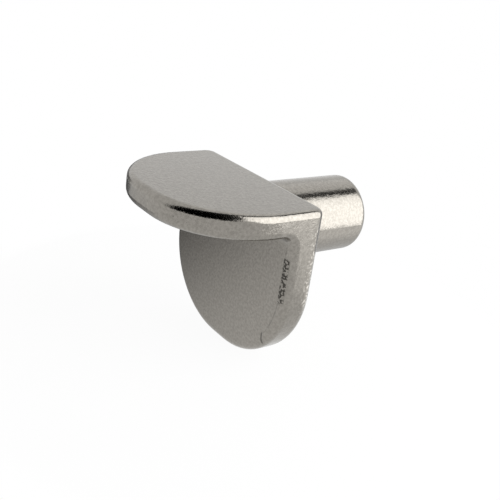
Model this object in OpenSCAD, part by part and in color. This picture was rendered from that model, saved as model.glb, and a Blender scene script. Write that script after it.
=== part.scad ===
// Shelf support pin: an L of cast metal with a round pin behind it.
// The pin slides into a hole drilled in the side panel of a cabinet, the back of the plate lies
// against the panel, and the shelf rests on the ledge.
// Origin: on the axis of the pin, in the plane of the plate's back. The pin points along +Y, the
// ledge reaches out along -Y, and +Z is up. Millimetres.

/* [Pin] */
// Diameter of the pin
pin_d = 5; // [3:0.1:8]
// Length of the pin, from the back of the plate to its end
pin_len = 7.2; // [4:0.1:16]
// Rounding around the end of the pin
pin_end_r = 0.6; // [0.1:0.05:1.4]

/* [Ledge and plate] */
// Width of the ledge and of the plate
width = 12; // [9:0.2:24]
// Rounding of the top edge, all around the seat
top_edge_r = 0.4; // [0.1:0.05:0.55]
// Rounding of the inner edges, around the underside of the ledge and the front of the plate
inner_edge_r = 0.5; // [0.1:0.05:0.5]
// Rounding of the upright edges at the back, and of the back of the plate's lower end
back_edge_r = 0.7; // [0.4:0.05:1]
// Fillet in the corner under the ledge
fillet_r = 0.7; // [0.2:0.1:1]

/* [Ledge] */
// Height of the seat for the shelf above the top of the pin
seat_step = 0.5; // [0.2:0.05:3]
// Reach of the ledge in front of the plate
ledge_reach = 6.3; // [3:0.1:20]
// Thickness of the ledge
ledge_t = 1.55; // [1.1:0.05:2.6]
// Radius of the two corners of the ledge's nose
ledge_corner_r = 5.4; // [1:0.1:7]

/* [Plate] */
// Height of the plate, from the seat to its lowest point
plate_h = 10.8; // [8:0.1:20]
// Thickness of the plate
plate_t = 2.1; // [1.2:0.1:4]
// Radius of the two corners of the plate's lower end
plate_corner_r = 5.4; // [1:0.1:7]

/* [Hidden] */
$fn = 96;
// Shortest run worth drawing
tiny = 0.001;
pin_r = pin_d / 2;
half_w = width / 2;
seat_z = pin_r + seat_step;
nose_y = plate_t + ledge_reach;
plate_low = plate_h - seat_z;
// Centre of the fillet's arc, in front of the plate's back and above the pin's axis
fillet_y = plate_t + fillet_r;
fillet_z = seat_z - ledge_t - fillet_r;
// Corner radii, kept within half the width and the straight stretch beyond the fillet
nose_round = min(ledge_corner_r, half_w, nose_y - fillet_y);
plate_round = min(plate_corner_r, half_w, plate_low + fillet_z);
// Radius at which the fillet's rims reach the full width, and how far the pieces there overlap
bend_r = fillet_r + inner_edge_r;
lap = 0.05;
// Rounding of the back's edges, kept clear of the rounding in front
back_round = max(top_edge_r, min(back_edge_r, plate_t - inner_edge_r - 2 * lap));

// The children and their mirror image across the middle of the part
module both_sides() {
    children();
    mirror([1, 0, 0]) children();
}

// Quarter of a disc, between +X and +Y
module quarter_disc(r) {
    intersection() {
        circle(r);
        square(r);
    }
}

// Section through an arm from its middle, at x = 0, to its rim, at x = reach. The rim is rounded by
// low_r below and by high_r above, and a radius of 0 leaves it square.
module rim_section(reach, thick, low_r, high_r) {
    if (thick > low_r + high_r) translate([0, low_r]) square([reach, thick - low_r - high_r]);
    if (low_r > 0) translate([reach - low_r, low_r]) mirror([0, 1]) quarter_disc(low_r);
    if (low_r > 0 && low_r < reach) square([reach - low_r, low_r]);
    if (high_r > 0) translate([reach - high_r, thick - high_r]) quarter_disc(high_r);
    if (high_r > 0 && high_r < reach)
        translate([0, thick - high_r]) square([reach - high_r, high_r]);
}

// Straight stretch of an arm that lies on z = 0, from y = start to y = end
module arm_run(start, end, thick, low_r, high_r) {
    if (end - start > tiny)
        both_sides() translate([0, end, 0]) rotate([90, 0, 0])
            linear_extrude(end - start) rim_section(half_w, thick, low_r, high_r);
}

// End of an arm that lies on z = 0 and reaches y = end, with two corners of radius corner_r
module arm_end(end, corner_r, thick, low_r, high_r) {
    both_sides() translate([0, end - corner_r, 0]) {
        if (half_w - corner_r > tiny)
            rotate([90, 0, 90]) linear_extrude(half_w - corner_r)
                rim_section(corner_r, thick, low_r, high_r);
        translate([half_w - corner_r, 0, 0])
            rotate_extrude(angle = 90) rim_section(corner_r, thick, low_r, high_r);
    }
}

// Ledge that carries the shelf, from the bend to its nose
module ledge() {
    translate([0, 0, seat_z - ledge_t]) mirror([0, 1, 0]) {
        arm_run(fillet_y, nose_y - nose_round, ledge_t, inner_edge_r, top_edge_r);
        arm_end(nose_y, nose_round, ledge_t, inner_edge_r, top_edge_r);
    }
}

// Plate that lies against the panel, from the bend down to its lowest point
module plate() {
    mirror([0, 0, 1]) rotate([90, 0, 0]) {
        arm_run(-fillet_z, plate_low - plate_round, plate_t, back_round, inner_edge_r);
        arm_end(plate_low, plate_round, plate_t, back_round, inner_edge_r);
    }
}

// Bend that joins the two arms, with the fillet under it
module bend() {
    // Behind the fillet
    rotate([90, 0, 0])
        arm_run(fillet_z, fillet_z + bend_r, plate_t - inner_edge_r, back_round, 0);
    // Above the fillet, from the back out to the ledge
    translate([0, 0, fillet_z + bend_r]) {
        arm_end(0, back_round, ledge_t - inner_edge_r, 0, top_edge_r);
        mirror([0, 1, 0])
            arm_run(back_round, fillet_y, ledge_t - inner_edge_r, 0, top_edge_r);
    }
    both_sides() translate([0, -fillet_y, fillet_z]) rotate([90, 0, 90]) {
        // The fillet, whose rims are rounded as the arms' inner edges are
        rotate_extrude(angle = 90) translate([fillet_r, 0]) mirror([1, -1])
            rim_section(half_w, inner_edge_r + lap, inner_edge_r, 0);
        // The corner between the fillet and both arms
        linear_extrude(half_w) difference() {
            square(bend_r + lap);
            circle(bend_r + lap / 2);
        }
    }
}

// Pin that goes into the drilled hole, rooted inside the plate
module pin() {
    root = plate_t / 2;
    translate([0, -root, 0]) rotate([-90, 0, 0]) {
        cylinder(r = pin_r, h = root + pin_len - pin_end_r);
        translate([0, 0, root + pin_len - pin_end_r])
            rotate_extrude() rim_section(pin_r, pin_end_r, 0, pin_end_r);
    }
}

module shelf_support() {
    color([0.72, 0.70, 0.67]) {
        ledge();
        plate();
        bend();
        pin();
    }
}

shelf_support();
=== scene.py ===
"""Shelf support pin: the nickel finish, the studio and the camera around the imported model."""

import logging
import math
from dataclasses import dataclass
from enum import Enum
from typing import NamedTuple

import bpy
from mathutils import Matrix, Vector


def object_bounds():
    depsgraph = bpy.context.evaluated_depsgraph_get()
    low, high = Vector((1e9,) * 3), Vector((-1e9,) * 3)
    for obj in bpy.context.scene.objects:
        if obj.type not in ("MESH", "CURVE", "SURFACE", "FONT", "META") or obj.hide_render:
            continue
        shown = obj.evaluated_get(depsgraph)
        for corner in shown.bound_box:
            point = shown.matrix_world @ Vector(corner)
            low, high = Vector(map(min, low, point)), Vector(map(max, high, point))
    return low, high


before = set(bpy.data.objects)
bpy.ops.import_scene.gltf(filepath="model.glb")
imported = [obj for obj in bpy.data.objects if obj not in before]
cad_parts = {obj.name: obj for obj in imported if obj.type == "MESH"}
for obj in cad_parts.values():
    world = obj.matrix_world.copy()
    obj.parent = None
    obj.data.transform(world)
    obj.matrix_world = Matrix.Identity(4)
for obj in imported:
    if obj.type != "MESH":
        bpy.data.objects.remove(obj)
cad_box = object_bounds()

MM = 0.001
NODE = "shelf_support"
MIX_LOW, MIX_HIGH, MIX_RESULT = 6, 7, 2  # The Mix node's sockets for colours.
NOISE_MIDDLE = 0.5
WHITE = (1.0, 1.0, 1.0, 1.0)

Colour = tuple[float, float, float]
Corner = tuple[float, float]

log = logging.getLogger("shelf_support_pin")


class Output(Enum):
    """The node that ends a tree."""

    MATERIAL = "ShaderNodeOutputMaterial"
    WORLD = "ShaderNodeOutputWorld"


class Ray(Enum):
    """A kind of ray that a Light Path node tells apart."""

    CAMERA = "Is Camera Ray"
    GLOSSY = "Is Glossy Ray"
    TRANSMISSION = "Is Transmission Ray"


class Ramp(NamedTuple):
    """A soft edge of a mask: where the mask is 0, and where it is 1."""

    off: float
    on: float


class Value:
    """A number that varies over a surface: Python operators on it add Math nodes."""

    def __init__(self, graph: "Graph", socket: bpy.types.NodeSocket) -> None:
        """Wrap one output socket.

        Args:
            graph: The node tree that the socket belongs to.
            socket: The output socket.
        """
        self.graph = graph
        self.socket = socket

    def _math(self, operation: str, *operands: "Value | float") -> "Value":
        """Add a Math node.

        Args:
            operation: The Math node's operation.
            operands: Its inputs, in order.

        Returns:
            The node's result.
        """
        inputs = dict(enumerate(operands))
        return self.graph.node("ShaderNodeMath", {"operation": operation}, inputs)

    def __add__(self, other: "Value | float") -> "Value":
        """Add other."""
        return self._math("ADD", self, other)

    __radd__ = __add__

    def __sub__(self, other: "Value | float") -> "Value":
        """Subtract other."""
        return self._math("SUBTRACT", self, other)

    def __rsub__(self, other: "Value | float") -> "Value":
        """Subtract from other."""
        return self._math("SUBTRACT", other, self)

    def __mul__(self, other: "Value | float") -> "Value":
        """Multiply by other."""
        return self._math("MULTIPLY", self, other)

    __rmul__ = __mul__

    def __abs__(self) -> "Value":
        """Drop the sign."""
        return self._math("ABSOLUTE", self)

    def root(self) -> "Value":
        """Take the square root."""
        return self._math("SQRT", self)

    def largest(self, other: "Value | float") -> "Value":
        """Take the larger of this and other."""
        return self._math("MAXIMUM", self, other)

    def smallest(self, other: "Value | float") -> "Value":
        """Take the smaller of this and other."""
        return self._math("MINIMUM", self, other)

    def step(self, ramp: Ramp, *more: Ramp) -> "Value":
        """Mark where this value is past one or more soft edges.

        Args:
            ramp: The edge. It marks the smaller values where on is below off.
            more: Further edges, all of which the value has to be past as well.

        Returns:
            1 past all the edges and 0 before any of them, smooth between.
        """
        settings = {"interpolation_type": "SMOOTHSTEP"}
        inputs = {"Value": self, "From Min": ramp.off, "From Max": ramp.on}
        past = self.graph.node("ShaderNodeMapRange", settings, inputs)
        return past * self.step(*more) if more else past


class Graph:
    """The node tree of a material or of the world."""

    def __init__(self, owner: bpy.types.Material | bpy.types.World) -> None:
        """Empty the owner's node tree.

        Args:
            owner: The material or world whose tree is built.
        """
        owner.use_nodes = True
        self.owner = owner
        self.tree = owner.node_tree
        self.tree.nodes.clear()

    def node(
        self,
        kind: str,
        settings: dict[str, object] | None = None,
        inputs: dict[str | int, object] | None = None,
        output: str | int = 0,
    ) -> Value:
        """Add a node.

        Args:
            kind: The node's type, such as "ShaderNodeTexNoise".
            settings: Properties of the node, set before its inputs.
            inputs: Values or links of its sockets, by name or number.
            output: The output to return, by name or number.

        Returns:
            The chosen output.
        """
        made = self.tree.nodes.new(kind)
        for name, setting in (settings or {}).items():
            setattr(made, name, setting)
        for name, given in (inputs or {}).items():
            if isinstance(given, Value):
                self.tree.links.new(given.socket, made.inputs[name])
            else:
                made.inputs[name].default_value = given
        return Value(self, made.outputs[output])

    def finish(self, kind: Output, shader: Value) -> bpy.types.Material | bpy.types.World:
        """Send a shader to the tree's output.

        Args:
            kind: The output node.
            shader: The shader.

        Returns:
            The material or world that the tree belongs to.
        """
        made = self.tree.nodes.new(kind.value)
        self.tree.links.new(shader.socket, made.inputs["Surface"])
        return self.owner

    def place(self) -> tuple[Value, Value, Value]:
        """Read the object coordinates.

        Returns:
            X, Y and Z, in metres.
        """
        whole = self.node("ShaderNodeTexCoord", output="Object")
        x = self.node("ShaderNodeSeparateXYZ", inputs={0: whole}, output="X")
        y, z = (Value(self, x.socket.node.outputs[axis]) for axis in "YZ")
        return x, y, z

    def noise(self, size: float, detail: float = 0.0) -> Value:
        """Add a noise pattern.

        Args:
            size: The size of one bump.
            detail: How many finer layers it has.

        Returns:
            The pattern, around 0.5.
        """
        whole = self.node("ShaderNodeTexCoord", output="Object")
        inputs = {"Vector": whole, "Scale": 1 / size, "Detail": detail}
        return self.node("ShaderNodeTexNoise", inputs=inputs)

    def ray(self, kind: Ray) -> Value:
        """Tell one kind of ray from the others.

        Args:
            kind: The kind.

        Returns:
            1 for that kind and 0 for others.
        """
        return self.node("ShaderNodeLightPath", output=kind.value)

    def mix_colour(self, factor: Value, low: Value | Colour, high: Value | Colour) -> Value:
        """Blend two colours.

        Args:
            factor: 0 gives low and 1 gives high.
            low: The first colour, or its linear red, green and blue.
            high: The second colour.

        Returns:
            The blended colour.
        """
        ends = [end if isinstance(end, Value) else (*end, 1.0) for end in (low, high)]
        inputs = {0: factor, MIX_LOW: ends[0], MIX_HIGH: ends[1]}
        return self.node("ShaderNodeMix", {"data_type": "RGBA"}, inputs, output=MIX_RESULT)

    def mix_shader(self, factor: Value, low: Value, high: Value) -> Value:
        """Blend two shaders.

        Args:
            factor: 0 gives low and 1 gives high.
            low: The first shader.
            high: The second shader.

        Returns:
            The blended shader.
        """
        return self.node("ShaderNodeMixShader", inputs={0: factor, 1: low, 2: high})

    def glow(self, strength: float) -> Value:
        """Add an even glow: 0 is black and 1 is white."""
        return self.node("ShaderNodeEmission", inputs={"Strength": strength})

    def cut_out(self, cover: Value, shader: Value) -> Value:
        """Show a shader only where a mask covers it.

        Args:
            cover: 1 where the shader shows and 0 where there is nothing.
            shader: The shader.

        Returns:
            The shader with the rest clear.
        """
        return self.mix_shader(cover, self.node("ShaderNodeBsdfTransparent"), shader)


@dataclass(frozen=True)
class PlateFront:
    """The plate's flat front, with the rounding around it."""

    corner_r: float = 5.4 * MM
    thickness: float = 2.1 * MM
    edge_r: float = 0.5 * MM
    near_front: Ramp = Ramp(-0.10 * MM, -0.05 * MM)
    right_half: Ramp = Ramp(0.0, 1 * MM)

    def beyond_flat(self, graph: Graph) -> Value:
        """Measure how far a place on the plate lies outside the edge of its flat front.

        Args:
            graph: The material's tree.

        Returns:
            The distance in metres, below 0 on the flat.
        """
        x, _, z = graph.place()
        across = (abs(x) - (cad_box[1].x - self.corner_r)).largest(0.0)
        down = (z - (cad_box[0].z + self.corner_r)).smallest(0.0)
        return (across * across + down * down).root() - (self.corner_r - self.edge_r)

    def on_right(self, graph: Graph) -> Value:
        """Mark the plate's right half, without the ledge in front of it.

        Args:
            graph: The material's tree.

        Returns:
            1 there and 0 elsewhere.
        """
        x, y, _ = graph.place()
        return (y + self.thickness).step(self.near_front) * x.step(self.right_half)


@dataclass(frozen=True)
class FrontEdgeLine:
    """Thin dark broken line beside the plate's front, with a short dark tail below."""

    inset: float = 0.08 * MM
    width: Ramp = Ramp(0.06 * MM, 0.02 * MM)
    top: Ramp = Ramp(0.9 * MM, 0.6 * MM)
    foot: Ramp = Ramp(-5.3 * MM, -5.1 * MM)
    gap_size: float = 0.5 * MM
    gap_detail: float = 1.0
    unbroken: Ramp = Ramp(0.40, 0.55)
    share: float = 0.35
    tail_x: float = 4.46 * MM
    tail_z: float = -5.5 * MM
    tail_slope: float = 0.1
    tail_width: Ramp = Ramp(0.09 * MM, 0.03 * MM)
    tail_top: Ramp = Ramp(-5.05 * MM, -5.25 * MM)
    tail_foot: Ramp = Ramp(-5.98 * MM, -5.85 * MM)
    tail_share: float = 0.75
    back: Ramp = Ramp(-1.2 * MM, -1.5 * MM)

    def mask(self, graph: Graph, plate: PlateFront) -> Value:
        """Mark the line and its tail.

        Args:
            graph: The material's tree.
            plate: The plate that carries them.

        Returns:
            How dark they are, and 0 elsewhere.
        """
        x, y, z = graph.place()
        line = abs(plate.beyond_flat(graph) + self.inset).step(self.width)
        line = line * z.step(self.top, self.foot)
        line = line * graph.noise(self.gap_size, self.gap_detail).step(self.unbroken)
        aside = x - self.tail_x + self.tail_slope * (z - self.tail_z)
        tail = abs(aside).step(self.tail_width) * z.step(self.tail_top, self.tail_foot)
        dark = (line * self.share).largest(tail * self.tail_share)
        return dark * plate.on_right(graph) * y.step(self.back)


@dataclass(frozen=True)
class DarkSpecks:
    """Small dark specks, dented slightly, in the rounding beside the plate's front."""

    size: float = 0.16 * MM
    depth: float = 0.02 * MM
    spots: Ramp = Ramp(0.46, 0.53)
    inner: Ramp = Ramp(-0.20 * MM, -0.10 * MM)
    outer: Ramp = Ramp(0.34 * MM, 0.22 * MM)
    top: Ramp = Ramp(0.2 * MM, 0.0)
    foot: Ramp = Ramp(-2.9 * MM, -2.5 * MM)

    def mask(self, graph: Graph, plate: PlateFront) -> Value:
        """Mark the specks.

        Args:
            graph: The material's tree.
            plate: The plate that carries them.

        Returns:
            1 in a speck and 0 elsewhere.
        """
        _, _, z = graph.place()
        where = plate.beyond_flat(graph).step(self.inner, self.outer) * z.step(self.top, self.foot)
        return graph.noise(self.size).step(self.spots) * where * plate.on_right(graph)


@dataclass(frozen=True)
class BackEdge:
    """Stretch of the upright edges at the plate's back."""

    front: Ramp
    side: Ramp
    top: Ramp
    foot: Ramp
    back: Ramp = Ramp(0.1 * MM, 0.05 * MM)

    def mask(self, x: Value, y: Value, z: Value) -> Value:
        """Mark the stretch.

        Args:
            x: The place along X, or its size alone to mark both sides.
            y: The place along Y.
            z: The place along Z.

        Returns:
            1 on the stretch and 0 elsewhere.
        """
        return y.step(self.front, self.back) * x.step(self.side) * z.step(self.top, self.foot)


@dataclass(frozen=True)
class PaintedGlints:
    """Painted highlight: bright glints along the upright edge at the plate's back, on the right.
    """

    size: float = 0.16 * MM
    spots: Ramp = Ramp(0.50, 0.70)
    edge: BackEdge = BackEdge(
        front=Ramp(-1.0 * MM, -0.45 * MM),
        side=Ramp(5.3 * MM, 5.5 * MM),
        top=Ramp(2.2 * MM, 1.6 * MM),
        foot=Ramp(-4.0 * MM, -2.5 * MM),
    )

    def mask(self, graph: Graph) -> Value:
        """Mark the painted glints.

        Args:
            graph: The material's tree.

        Returns:
            1 in a painted glint and 0 elsewhere.
        """
        return graph.noise(self.size).step(self.spots) * self.edge.mask(*graph.place())


@dataclass(frozen=True)
class ContactShade:
    """Painted shade: a dark line beside the pin, along both upright edges at the plate's back."""

    edge: BackEdge = BackEdge(
        front=Ramp(-0.52 * MM, -0.44 * MM),
        side=Ramp(5.2 * MM, 5.3 * MM),
        top=Ramp(2.95 * MM, 2.8 * MM),
        foot=Ramp(0.2 * MM, 0.5 * MM),
    )

    def mask(self, graph: Graph) -> Value:
        """Mark the painted shade.

        Args:
            graph: The material's tree.

        Returns:
            1 in the painted shade and 0 elsewhere.
        """
        x, y, z = graph.place()
        return self.edge.mask(abs(x), y, z)


@dataclass(frozen=True)
class Nickel:
    """Satin nickel plate over a tumbled casting, with dark specks and a dark line beside the
    plate's front, and painted highlights and painted shade at the plate's back edges.
    """

    light_tone: Colour = (0.304, 0.287, 0.259)
    dark_tone: Colour = (0.240, 0.226, 0.203)
    # Colour of the dark specks and line, and of the painted shade beside the pin.
    mark_and_shade_tone: Colour = (0.035, 0.032, 0.028)
    # Colour of the painted highlights along the plate's back edge.
    glint_tone: Colour = (0.640, 0.610, 0.560)
    tone_size: float = 0.16 * MM
    tone_detail: float = 4.0
    tone_spread: Ramp = Ramp(0.3, 0.7)
    dark_mark_share: float = 0.9
    # How strongly the painted highlights show.
    glint_share: float = 0.85
    # How dark the painted shade beside the pin is.
    contact_shade_share: float = 0.85
    roughness: float = 0.17
    roughness_spread: float = 0.08
    peel_size: float = 0.30 * MM
    peel_height: float = 0.011 * MM
    grain_size: float = 0.10 * MM
    grain_height: float = 0.006 * MM
    relief_detail: float = 2.0

    def material(self) -> bpy.types.Material:
        """Build the material.

        Returns:
            The material.
        """
        graph = Graph(bpy.data.materials.new("nickel"))
        plate, specks = PlateFront(), DarkSpecks()
        dark_marks = FrontEdgeLine().mask(graph, plate).largest(specks.mask(graph, plate))
        tone = graph.noise(self.tone_size, self.tone_detail).step(self.tone_spread)
        colour = graph.mix_colour(tone, self.dark_tone, self.light_tone)
        colour = graph.mix_colour(self.dark_mark_share * dark_marks, colour, self.mark_and_shade_tone)
        # Painted highlight: bright glints along the plate's back edge on the right.
        glints = self.glint_share * PaintedGlints().mask(graph)
        colour = graph.mix_colour(glints, colour, self.glint_tone)
        # Painted shade where the plate's back edges meet the pin.
        contact_shade = self.contact_shade_share * ContactShade().mask(graph)
        colour = graph.mix_colour(contact_shade, colour, self.mark_and_shade_tone)
        peel = graph.noise(self.peel_size, self.relief_detail)
        grain = graph.noise(self.grain_size, self.relief_detail)
        rough = self.roughness + self.roughness_spread * (grain - NOISE_MIDDLE)
        height = peel * self.peel_height + grain * self.grain_height - dark_marks * specks.depth
        relief = {"Height": height, "Distance": 1.0, "Strength": 1.0}
        bump = graph.node("ShaderNodeBump", inputs=relief)
        metal = {"Base Color": colour, "Metallic": 1.0, "Roughness": rough, "Normal": bump}
        shader = graph.node("ShaderNodeBsdfPrincipled", inputs=metal)
        return graph.finish(Output.MATERIAL, shader)


def add_sheet(name: str, low: Corner, high: Corner, height: float = 0.0) -> bpy.types.Object:
    """Add a flat level sheet to the studio.

    Args:
        name: Its name.
        low: Its lowest X and Y.
        high: Its highest X and Y.
        height: Its Z.

    Returns:
        The sheet.
    """
    bpy.ops.object.select_all(action="DESELECT")
    bpy.ops.mesh.primitive_plane_add(size=1.0)
    sheet = bpy.context.object
    sheet.name = name
    size = [end - start for start, end in zip(low, high)]
    middle = [(end + start) / 2 for start, end in zip(low, high)]
    place = Matrix.Translation((*middle, height)) @ Matrix.Diagonal((*size, 1, 1))
    sheet.data.transform(place)
    return sheet


def hang(piece: bpy.types.Object, material: bpy.types.Material, lights: bool) -> None:
    """Dress a piece of the studio that the metal mirrors and the camera doesn't see.

    Args:
        piece: The piece.
        material: Its finish.
        lights: Whether it gives light and shade too.
    """
    piece.data.materials.append(material)
    piece.visible_camera = False
    piece.visible_diffuse = lights
    piece.visible_shadow = lights


@dataclass(frozen=True)
class Floor:
    """Pale round table top under the part. In the metal it is brighter towards the lamp."""

    radius: float = 38 * MM
    corners: int = 128
    # Seen directly: shaded under the part and white further out.
    tone: float = 0.90
    fade: Ramp = Ramp(8 * MM, 20 * MM)
    least_white: float = 0.95
    # Seen in the metal: a painted pool of lamp light at the right back, painted shadow of the part
    # towards the left except along the front rim, and darker painted shadow behind the part on the
    # left.
    mirrored_glow: float = 1.5
    plain_share: float = 0.66
    lamp_share: float = 0.40
    lamp_turn: float = 0.3
    lamp_edge: Ramp = Ramp(0.5 * MM, 7.5 * MM)
    lamp_side: Ramp = Ramp(2 * MM, 11 * MM)
    dim_share: float = 0.52
    dim_turn: float = 0.58
    dim_edge: Ramp = Ramp(5.7 * MM, -16 * MM)
    dim_front: Ramp = Ramp(-22 * MM, -15.5 * MM)
    dim_back: Ramp = Ramp(19 * MM, 14 * MM)
    rim_share: float = 0.7
    rim_edge: Ramp = Ramp(26.5 * MM, 30.5 * MM)
    rim_front: Ramp = Ramp(2 * MM, -8 * MM)
    dark_share: float = 0.76
    dark_turn: float = 0.3
    dark_edge: Ramp = Ramp(-5 * MM, -16 * MM)
    dark_front: Ramp = Ramp(-4 * MM, 1 * MM)
    dark_front_turn: float = 0.6
    dark_front_bend: float = -15 * MM
    dark_back: Ramp = Ramp(20 * MM, 15 * MM)

    def build(self) -> bpy.types.Object:
        """Build the floor, at the part's lowest height.

        Returns:
            The floor.
        """
        bpy.ops.object.select_all(action="DESELECT")
        bpy.ops.mesh.primitive_circle_add(
            vertices=self.corners, radius=self.radius, fill_type="NGON"
        )
        floor = bpy.context.object
        floor.name = "floor"
        floor.data.transform(Matrix.Translation((0, 0, cad_box[0].z)))
        floor.data.materials.append(self.material())
        return floor

    def mirrored_level(self, x: Value, y: Value, away: Value) -> Value:
        """Paint the lamp light and the part's shadows that the metal sees on the floor.

        Args:
            x: The place along X.
            y: The place along Y.
            away: The distance from the middle.

        Returns:
            The brightness, as a share of the mirrored glow.
        """
        lit = (y - self.lamp_turn * x).step(self.lamp_edge) * x.step(self.lamp_side)
        rim = away.step(self.rim_edge) * y.step(self.rim_front)
        dim = (x - self.dim_turn * y.smallest(0.0)).step(self.dim_edge)
        dim = dim * (1 - self.rim_share * rim) * y.step(self.dim_front, self.dim_back)
        behind = y - self.dark_front_turn * (x - self.dark_front_bend).smallest(0.0)
        dark = (x + self.dark_turn * y).step(self.dark_edge)
        dark = dark * behind.step(self.dark_front) * y.step(self.dark_back)
        level = self.plain_share + self.lamp_share * lit - self.dim_share * dim
        return level * (1 - self.dark_share * dark)

    def material(self) -> bpy.types.Material:
        """Build the floor's finish: shaded under the part, and white like the background outside.

        Returns:
            The material.
        """
        graph = Graph(bpy.data.materials.new("floor"))
        x, y, _ = graph.place()
        away = (x * x + y * y).root()
        shaded = graph.node("ShaderNodeBsdfDiffuse", inputs={"Color": (*[self.tone] * 3, 1.0)})
        white = away.step(self.fade).largest(self.least_white) * graph.ray(Ray.CAMERA)
        plain = graph.mix_shader(white, shaded, graph.glow(1.0))
        level = self.mirrored_level(x, y, away)
        in_metal = graph.mix_shader(level, graph.glow(0.0), graph.glow(self.mirrored_glow))
        surface = graph.mix_shader(graph.ray(Ray.GLOSSY), plain, in_metal)
        return graph.finish(Output.MATERIAL, surface)


@dataclass(frozen=True)
class Softbox:
    """Large soft lamp that leans over the part from its right, with its foot higher in front."""

    distance: float = 80 * MM
    rise: float = 35.0
    low_angle: float = -24.0
    low_near_angle: float = 12.0
    low_edge: Ramp = Ramp(50 * MM, -5 * MM)
    high_angle: float = 74.0
    near_y: float = -4 * MM
    near_slope: float = 0.20
    near_margin: float = 60 * MM
    far_y: float = 330 * MM
    strength: float = 3.6
    rim: Ramp = Ramp(0.0, 22 * MM)
    rim_share: float = 0.62
    head: Ramp = Ramp(0.0, 65 * MM)
    head_share: float = 0.20
    outline: Ramp = Ramp(-3 * MM, 3 * MM)

    def build(self) -> bpy.types.Object:
        """Build the lamp's panel.

        Returns:
            The panel.
        """
        low = (self.climb(self.low_angle), self.near_y - self.near_margin)
        panel = add_sheet("softbox", low, (self.climb(self.high_angle), self.far_y))
        lean = math.radians(self.rise)
        out = Vector((math.cos(lean), 0, math.sin(lean)))
        turn = Matrix.Rotation(-lean - math.pi / 2, 4, "Y")
        panel.matrix_world = Matrix.Translation(out * self.distance) @ turn
        hang(panel, self.material(), lights=True)
        return panel

    def climb(self, angle: float) -> float:
        """Find a place on the panel, measured up from its middle.

        Args:
            angle: The elevation at which the part sees it, in degrees.

        Returns:
            The distance.
        """
        return self.distance * math.tan(math.radians(angle - self.rise))

    def material(self) -> bpy.types.Material:
        """Build the lamp's cloth, which is dimmer towards its edges and its head.

        Returns:
            The material.
        """
        graph = Graph(bpy.data.materials.new("softbox"))
        up, y, _ = graph.place()
        low, low_near = self.climb(self.low_angle), self.climb(self.low_near_angle)
        high = self.climb(self.high_angle)
        near = y - self.near_y - (up - high) * self.near_slope
        foot = up - low - (low_near - low) * y.step(self.low_edge)
        head = high - up
        inward = near.smallest(foot).smallest(head).smallest(self.far_y - y)
        level = inward.step(self.rim) * (1 - self.rim_share) + self.rim_share
        level = level * (head.step(self.head) * self.head_share + (1 - self.head_share))
        light = graph.mix_shader(level, graph.glow(0.0), graph.glow(self.strength))
        shader = graph.cut_out(inward.step(self.outline), light)
        return graph.finish(Output.MATERIAL, shader)


@dataclass(frozen=True)
class Flag:
    """Black sheet overhead and in front, which gives the metal its dark reflections."""

    distance: float = 120 * MM
    back_y: float = 150 * MM
    half_width: float = 290 * MM
    low_z: float = -26 * MM
    left_x: float = -6 * MM
    left_slope: float = 0.25
    left_bow: float = 14 * MM
    bow_front: Ramp = Ramp(0.0, 30 * MM)
    bow_back: Ramp = Ramp(105 * MM, 70 * MM)
    right_x: float = 100 * MM
    right_slope: float = 1.5
    outline: Ramp = Ramp(-8 * MM, 8 * MM)

    def build(self) -> bpy.types.Object:
        """Build the sheet: level overhead, and upright in front.

        Returns:
            The sheet.
        """
        low = (-self.half_width, -self.distance)
        sheet = add_sheet("flag", low, (self.half_width, self.back_y), self.distance)
        bpy.ops.object.mode_set(mode="EDIT")
        bpy.ops.mesh.select_all(action="DESELECT")
        bpy.ops.object.mode_set(mode="OBJECT")
        vertices = sheet.data.vertices
        for vertex in vertices:
            vertex.select = vertex.co.y < 0
        for edge in sheet.data.edges:
            edge.select = all(vertices[end].select for end in edge.vertices)
        bpy.ops.object.mode_set(mode="EDIT")
        bpy.ops.mesh.extrude_region_move(
            TRANSFORM_OT_translate={"value": (0, 0, self.low_z - self.distance)}
        )
        bpy.ops.object.mode_set(mode="OBJECT")
        hang(sheet, self.material(), lights=False)
        return sheet

    def material(self) -> bpy.types.Material:
        """Build the black cloth, whose soft sides spread towards the front.

        Returns:
            The material.
        """
        graph = Graph(bpy.data.materials.new("flag"))
        x, y, _ = graph.place()
        front = y.smallest(0.0)
        bow = y.step(self.bow_front, self.bow_back) * self.left_bow
        left = front * self.left_slope + self.left_x + bow
        right = self.right_x - front * self.right_slope
        cover = (x - left).smallest(right - x).step(self.outline)
        shader = graph.cut_out(cover, graph.glow(0.0))
        return graph.finish(Output.MATERIAL, shader)


@dataclass(frozen=True)
class Ceiling:
    """Pale panel overhead, behind the part and to its left."""

    height: float = 120 * MM
    low: Corner = (-140 * MM, 50 * MM)
    high: Corner = (-14 * MM, 170 * MM)
    strength: float = 1.40

    def build(self) -> bpy.types.Object:
        """Build the panel.

        Returns:
            The panel.
        """
        panel = add_sheet("ceiling", self.low, self.high, self.height)
        hang(panel, self.material(), lights=True)
        return panel

    def material(self) -> bpy.types.Material:
        """Build the panel's even glow.

        Returns:
            The material.
        """
        graph = Graph(bpy.data.materials.new("ceiling"))
        return graph.finish(Output.MATERIAL, graph.glow(self.strength))


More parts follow.
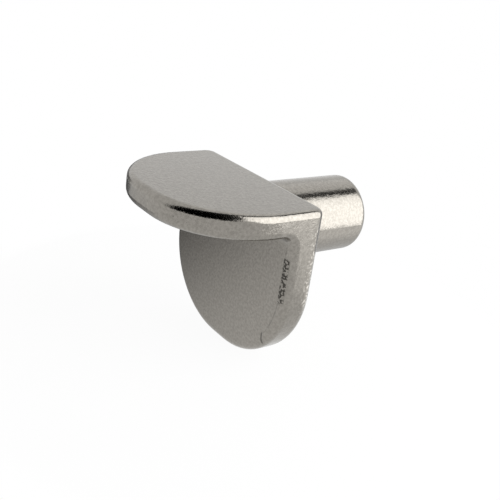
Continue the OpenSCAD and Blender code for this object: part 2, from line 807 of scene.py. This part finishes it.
@dataclass(frozen=True)
class Skirting:
    """Low dark strip behind the part and to its left, which draws thin outlines in the metal."""

    radius: float = 50 * MM
    corners: int = 96
    low_z: float = -9 * MM
    high_z: float = 6 * MM
    right_x: float = -4 * MM
    front_y: float = -24 * MM
    back_y: float = 30 * MM
    strength: float = 0.22
    outline: Ramp = Ramp(0.0, 8 * MM)

    def build(self) -> bpy.types.Object:
        """Build the strip as an open ring, of which the rest is clear.

        Returns:
            The strip.
        """
        bpy.ops.object.select_all(action="DESELECT")
        bpy.ops.mesh.primitive_cylinder_add(
            vertices=self.corners,
            radius=self.radius,
            depth=self.high_z - self.low_z,
            end_fill_type="NOTHING",
        )
        strip = bpy.context.object
        strip.name = "skirting"
        strip.data.transform(Matrix.Translation((0, 0, (self.high_z + self.low_z) / 2)))
        hang(strip, self.material(), lights=False)
        return strip

    def material(self) -> bpy.types.Material:
        """Build the strip's dark cloth.

        Returns:
            The material.
        """
        graph = Graph(bpy.data.materials.new("skirting"))
        x, y, _ = graph.place()
        inward = (y - self.front_y).smallest(self.back_y - y)
        cover = (self.right_x - x).step(self.outline) * inward.step(self.outline)
        shader = graph.cut_out(cover, graph.glow(self.strength))
        return graph.finish(Output.MATERIAL, shader)


@dataclass(frozen=True)
class Backdrop:
    """White room around the part."""

    ambient: float = 0.45

    def build(self) -> bpy.types.World:
        """Build the world: white where it is seen or mirrored, and softer where it lights.

        Returns:
            The world.
        """
        graph = Graph(bpy.data.worlds.new("backdrop"))
        camera, glossy, transmission = (graph.ray(kind) for kind in Ray)
        seen = camera.largest(glossy).largest(transmission)
        strength = seen + (1 - seen) * self.ambient
        inputs = {"Color": WHITE, "Strength": strength}
        world = graph.finish(Output.WORLD, graph.node("ShaderNodeBackground", inputs=inputs))
        bpy.context.scene.world = world
        return world


@dataclass(frozen=True)
class Camera:
    """Camera in front of the ledge, to its right and above it."""

    target: tuple[float, float, float] = (1.220 * MM, -1.292 * MM, -1.259 * MM)
    azimuth: float = 51.13
    elevation: float = 22.46
    roll: float = 8.30
    distance: float = 45.8 * MM
    lens: float = 53.78
    sensor: float = 36.0
    clip_start: float = 1 * MM
    clip_end: float = 1000 * MM

    def build(self) -> bpy.types.Object:
        """Build the camera and make it the scene's own.

        Returns:
            The camera.
        """
        turn, tilt = math.radians(self.azimuth), math.radians(self.elevation)
        level = math.cos(tilt)
        back = Vector((math.sin(turn) * level, -math.cos(turn) * level, math.sin(tilt)))
        data = bpy.data.cameras.new("camera")
        data.lens = self.lens
        data.sensor_width = self.sensor
        data.clip_start = self.clip_start
        data.clip_end = self.clip_end
        camera = bpy.data.objects.new("camera", data)
        bpy.context.scene.collection.objects.link(camera)
        camera.rotation_mode = "QUATERNION"
        camera.location = Vector(self.target) + back * self.distance
        aim = (-back).to_track_quat("-Z", "Y")
        roll = Matrix.Rotation(math.radians(self.roll), 3, "Z").to_quaternion()
        camera.rotation_quaternion = aim @ roll
        bpy.context.scene.camera = camera
        return camera


@dataclass(frozen=True)
class Support:
    """The shelf support itself: one cast piece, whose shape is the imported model's."""

    finish: Nickel = Nickel()

    def build(self) -> bpy.types.Object:
        """Give the support its nickel finish.

        Returns:
            The support's object.
        """
        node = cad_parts[NODE]
        node.data.materials.clear()
        node.data.materials.append(self.finish.material())
        return node


def main() -> None:
    """Build the camera, the studio and the finish."""
    logging.basicConfig(level=logging.INFO)
    pieces = (Camera(), Backdrop(), Floor(), Softbox(), Flag(), Ceiling(), Skirting(), Support())
    for piece in pieces:
        log.info("%s: built as %s", type(piece).__name__, piece.build().name)
    bpy.context.scene.view_settings.view_transform = "Standard"


if __name__ == "__main__":
    main()
